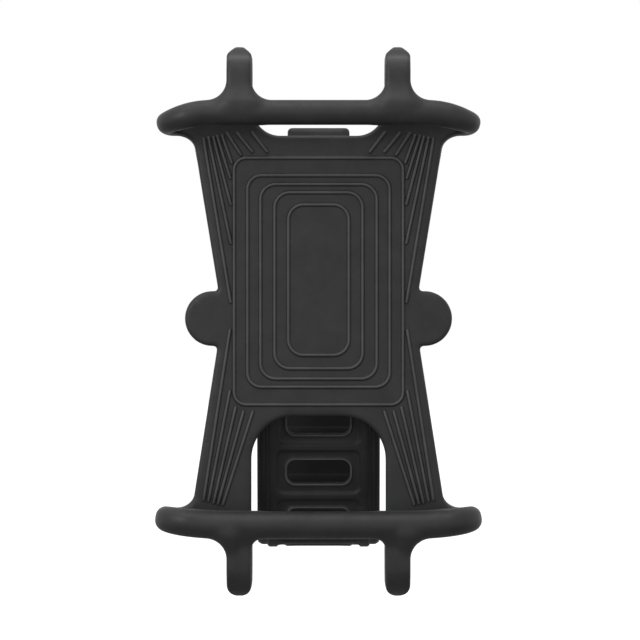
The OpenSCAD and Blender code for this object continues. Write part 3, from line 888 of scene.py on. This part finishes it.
# The third colour of each silicone is its painted highlight colour, much paler than the silicone itself
PAD_SILICONE = silicone("silicone_matte", (0.012, 0.012, 0.0125), (0.018, 0.018, 0.019),
                        (0.050, 0.050, 0.051), grain=0.35, roughness=0.5)
STRAP_SILICONE = silicone("silicone_strap", (0.004, 0.004, 0.0045), (0.008, 0.008, 0.0085),
                          (0.065, 0.065, 0.066), grain=0.5, roughness=0.55)
NYLON = nylon()
STEEL = steel()


def finish_piece(obj, mat, slot, *nodes):
    """Gives a piece its material and hides the CAD nodes it stands for. Its slot argument is not used."""
    obj.data.materials.append(mat)
    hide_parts(*nodes)


def dress_node(node, mat):
    """Gives a CAD node that stays in view its material."""
    for holder in frame["nodes"][node].material_slots:
        holder.material = mat


def band_nodes(side):
    """The CAD nodes of one band."""
    parts = [f"{side}_{hand}_{kind}" for hand in ("left", "right") for kind in ("prong", "corner_fold")]
    return [f"{side}_crossbar"] + parts


moulding = build_moulding()
finish_piece(moulding["pad"], PAD_SILICONE, "silicone_matte", "cradle_pad")
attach(moulding["pad"], "cradle")
for side in ("upper", "lower"):
    piece = moulding[f"{side}_band"]
    finish_piece(piece, PAD_SILICONE, "silicone_matte", *band_nodes(side))
    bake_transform(piece)

for i, piece in enumerate(build_strap()):
    nodes = LINKS[i:i + 2] if i == len(HINGE_S) - 1 else LINKS[i:i + 1]
    finish_piece(piece, STRAP_SILICONE, "silicone_strap", *nodes)
    y, z, a = ROUTE.at([HINGE_S[i]])
    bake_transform(piece)

for piece, mat, slot, node in ((build_bracket(), NYLON, "nylon_black", "rear_bracket"),
                               (build_hook(), NYLON, "nylon_black", "strap_hook"),
                               (build_liner(), STRAP_SILICONE, "silicone_strap", "saddle_pad")):
    finish_piece(piece, mat, slot, node)
    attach(piece, "cradle")
for node in ("core_plate", "bracket_screws", "anchor_pin"):
    dress_node(node, STEEL)


# ---------------------------------------------------------------- stage, light and camera

def area_light(name, at, target, size, power):
    """Square softbox."""
    data = bpy.data.lights.new(name, "AREA")
    data.energy, data.size = power, size
    obj = bpy.data.objects.new(name, data)
    bpy.context.scene.collection.objects.link(obj)
    aim(obj, at, target)


def aim(obj, at, target):
    """Places a light or camera and turns it towards the target."""
    obj.location = at
    look = np.array(target) - np.array(at)
    obj.rotation_mode = "QUATERNION"
    obj.rotation_quaternion = Vector(look).to_track_quat("-Z", "Y")


FLOOR_Z, FLOOR_HALF = -0.11, 3.0
floor_corners = [(x * FLOOR_HALF / MM, y * FLOOR_HALF / MM, FLOOR_Z / MM)
                 for x, y in ((-1, -1), (1, -1), (1, 1), (-1, 1))]
floor = new_object("floor", floor_corners, [(0, 1, 2, 3)])
floor_mat, _, _, floor_shader = material("pale_floor", (0.92, 0.92, 0.92), 0.9, 0.0)
floor_shader.inputs["Emission Color"].default_value = (1, 1, 1, 1)
floor_shader.inputs["Emission Strength"].default_value = 0.25
floor.data.materials.append(floor_mat)
floor.visible_diffuse = floor.visible_glossy = False

# The sky is a little darker below the horizon, so that undersides read darker
world = bpy.data.worlds.new("studio")
bpy.context.scene.world = world
world.use_nodes = True
sky, sky_links = world.node_tree.nodes, world.node_tree.links
place = sky.new("ShaderNodeTexCoord")
split = sky.new("ShaderNodeSeparateXYZ")
sky_links.new(place.outputs["Generated"], split.inputs["Vector"])
fade = ramp(sky, sky_links, split.outputs["Z"], [(0.0, (0.4,) * 3), (1.0, (1.0,) * 3)])
level = sky.new("ShaderNodeMapRange")
level.inputs["From Min"].default_value = -0.45
level.inputs["From Max"].default_value = -0.1
sky_links.new(split.outputs["Z"], level.inputs["Value"])
sky_links.new(level.outputs["Result"], fade.inputs["Fac"])
sky_links.new(fade.outputs["Color"], sky["Background"].inputs["Color"])
sky["Background"].inputs["Strength"].default_value = 1.0

area_light("overhead_softbox", (-0.05, -0.16, 0.42), (0, -0.03, 0.03), 0.4, 1.0)
area_light("front_key", (-0.22, -0.32, 0.13), (-0.01, 0, 0.02), 0.12, 0.5)

VIEW_DISTANCE = 0.75
PICTURE_WIDTH = 0.1629             # how much of the pad's plane the picture spans
CAMERA_X, CAMERA_Z = 0.00038, 0.00013
SENSOR_MM = 36
camera_data = bpy.data.cameras.new("camera")
camera_data.sensor_width = SENSOR_MM
camera_data.lens = SENSOR_MM * VIEW_DISTANCE / PICTURE_WIDTH
camera = bpy.data.objects.new("camera", camera_data)
bpy.context.scene.collection.objects.link(camera)
aim(camera, (CAMERA_X, PAD_FRONT * MM - VIEW_DISTANCE, CAMERA_Z), (CAMERA_X, 0, CAMERA_Z))
bpy.context.scene.camera = camera
bpy.context.scene.view_settings.view_transform = "Standard"
